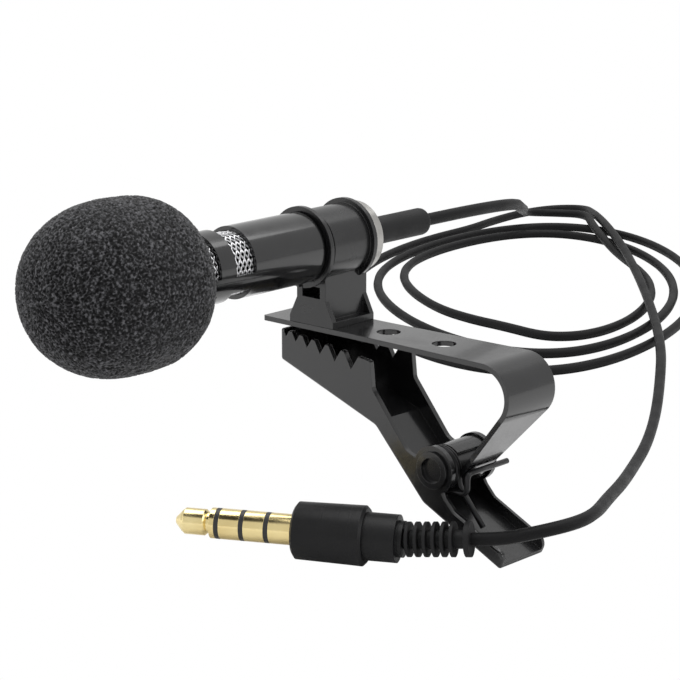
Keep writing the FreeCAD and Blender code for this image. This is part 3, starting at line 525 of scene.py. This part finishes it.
def makeSpring():
    v = springValues
    bottom = v["pivotZ"] - v["radius"]
    bar = [Vector((v["barX"], v["barEnd"], v["barZ"])), Vector((v["barX"], v["outY"], v["barZ"])),
           Vector((v["barX"], v["outY"], bottom)), Vector((v["pivotX"], v["outY"], bottom))]
    path = bendLine(bar, v["bend"])
    steps = v["coilSteps"]
    for i in range(1, steps + 1):
        turn = math.radians(-90 - v["coilDegrees"] * i / steps)
        y = v["outY"] + (v["footY"] - v["outY"]) * i / steps
        x = v["pivotX"] + v["radius"] * math.cos(turn)
        z = v["pivotZ"] + v["radius"] * math.sin(turn)
        path.append(Vector((x, y, z)))
    last = path[-1]
    foot = [last, last + Vector((0, 0, -v["drop"])), Vector((v["footX"], v["footY"], v["footZ"]))]
    path = path[:-1] + bendLine(foot, v["bend"])
    vertices, faces = sweepTube(path, v["wire"] / 2 - v["inset"], v["sides"])
    spring = meshObject("torsionSpringWire", vertices, faces, "spring_wire")
    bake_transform(spring)
    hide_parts("torsion_spring")
    print("spring faces", len(faces))


makeSpring()


# the other CAD pieces keep their form and take their finish
sharpAngle = math.radians(32)
for name, piece in nodes.items():
    if piece.hide_render:
        continue
    piece.data.materials.clear()
    piece.data.materials.append(materials[slotOf[name]])
    piece.data.shade_smooth()
    piece.data.set_sharp_from_angle(angle=sharpAngle)
print("carried over", sum(not piece.hide_render for piece in nodes.values()))


# stage: camera and floor height in mm, the floor's half side and the softboxes in metres,
# radiance of each softbox in units of the white background
stageValues = {"cameraPlace": (181.07, -200.27, 65.39), "cameraBack": (0.6533, -0.718, 0.2402),
               "focalPixels": 2380.0, "imagePixels": 680, "floorHeight": -22.5, "surround": 0.8, "floorTone": 0.72,
              "floorHalf": 4.0, "floorDrop": 0.00002, "floorRoughness": 0.9, "sensor": 36, "near": 0.01, "far": 50}
softboxes = [
    {"name": "topBox", "place": (-0.05, 0.15, 0.85), "aim": (0, 0.04, 0), "size": (1.0, 1.0), "radiance": 2.6},
    {"name": "leftBox", "place": (-0.45, -0.75, 0.4), "aim": (0, 0, 0), "size": (0.5, 0.8), "radiance": 1.8},
    {"name": "rightBox", "place": (0.85, 0.25, 0.45), "aim": (0, 0, 0), "size": (0.5, 0.8), "radiance": 2.2},
]


def makeStage():
    v = stageValues
    data = bpy.data.cameras.new("photoCamera")
    data.sensor_fit = "HORIZONTAL"
    data.sensor_width = v["sensor"]
    data.lens = v["focalPixels"] / v["imagePixels"] * v["sensor"]
    data.clip_start = v["near"]
    data.clip_end = v["far"]
    camera = bpy.data.objects.new("photoCamera", data)
    back = Vector(v["cameraBack"]).normalized()
    side = Vector((0, 0, 1)).cross(back).normalized()
    up = back.cross(side)
    turned = Matrix((side, up, back)).transposed().to_4x4()
    camera.matrix_world = Matrix.Translation(Vector(v["cameraPlace"]) * mm) @ turned
    bpy.context.scene.collection.objects.link(camera)
    bpy.context.scene.camera = camera
    for box in softboxes:
        light = bpy.data.lights.new(box["name"], "AREA")
        light.shape = "RECTANGLE"
        light.size, light.size_y = box["size"]
        light.energy = box["radiance"] * math.pi * box["size"][0] * box["size"][1]
        holder = bpy.data.objects.new(box["name"], light)
        holder.location = box["place"]
        holder.rotation_euler = (Vector(box["aim"]) - Vector(box["place"])).to_track_quat("-Z", "Y").to_euler()
        holder.visible_camera = False
        bpy.context.scene.collection.objects.link(holder)
    half = v["floorHalf"]
    height = v["floorHeight"] * mm - v["floorDrop"]
    floorMesh = bpy.data.meshes.new("floor")
    corners = [(-half, -half, height), (half, -half, height), (half, half, height), (-half, half, height)]
    floorMesh.from_pydata(corners, [], [(0, 1, 2, 3)])
    floor = bpy.data.objects.new("floor", floorMesh)
    bpy.context.scene.collection.objects.link(floor)
    # the floor is plain white to the camera only and pale matte card to every other ray
    material, tree, shader = newMaterial("pale sweep")[:3]
    shader.inputs["Base Color"].default_value = (v["floorTone"], v["floorTone"], v["floorTone"], 1)
    shader.inputs["Roughness"].default_value = v["floorRoughness"]
    seen = addNode(tree, "ShaderNodeLightPath").outputs["Is Camera Ray"]
    white = addNode(tree, "ShaderNodeEmission", {"Color": (1, 1, 1, 1), "Strength": 1.0}).outputs[0]
    mixed = addNode(tree, "ShaderNodeMixShader", {0: seen, 1: shader.outputs[0], 2: white})
    tree.links.new(mixed.outputs[0], tree.nodes["Material Output"].inputs["Surface"])
    floorMesh.materials.append(material)
    world = bpy.data.worlds.new("surround")
    world.use_nodes = True
    bpy.context.scene.world = world
    tree = world.node_tree
    seen = addNode(tree, "ShaderNodeLightPath").outputs["Is Camera Ray"]
    tone = v["surround"]
    soft = addNode(tree, "ShaderNodeBackground", {"Color": (tone, tone, tone, 1)})
    white = addNode(tree, "ShaderNodeBackground", {"Color": (1, 1, 1, 1)})
    mixed = addNode(tree, "ShaderNodeMixShader", {0: seen, 1: soft.outputs[0], 2: white.outputs[0]})
    tree.links.new(mixed.outputs[0], tree.nodes["World Output"].inputs["Surface"])
    scene = bpy.context.scene
    scene.view_settings.view_transform = "Standard"


makeStage()
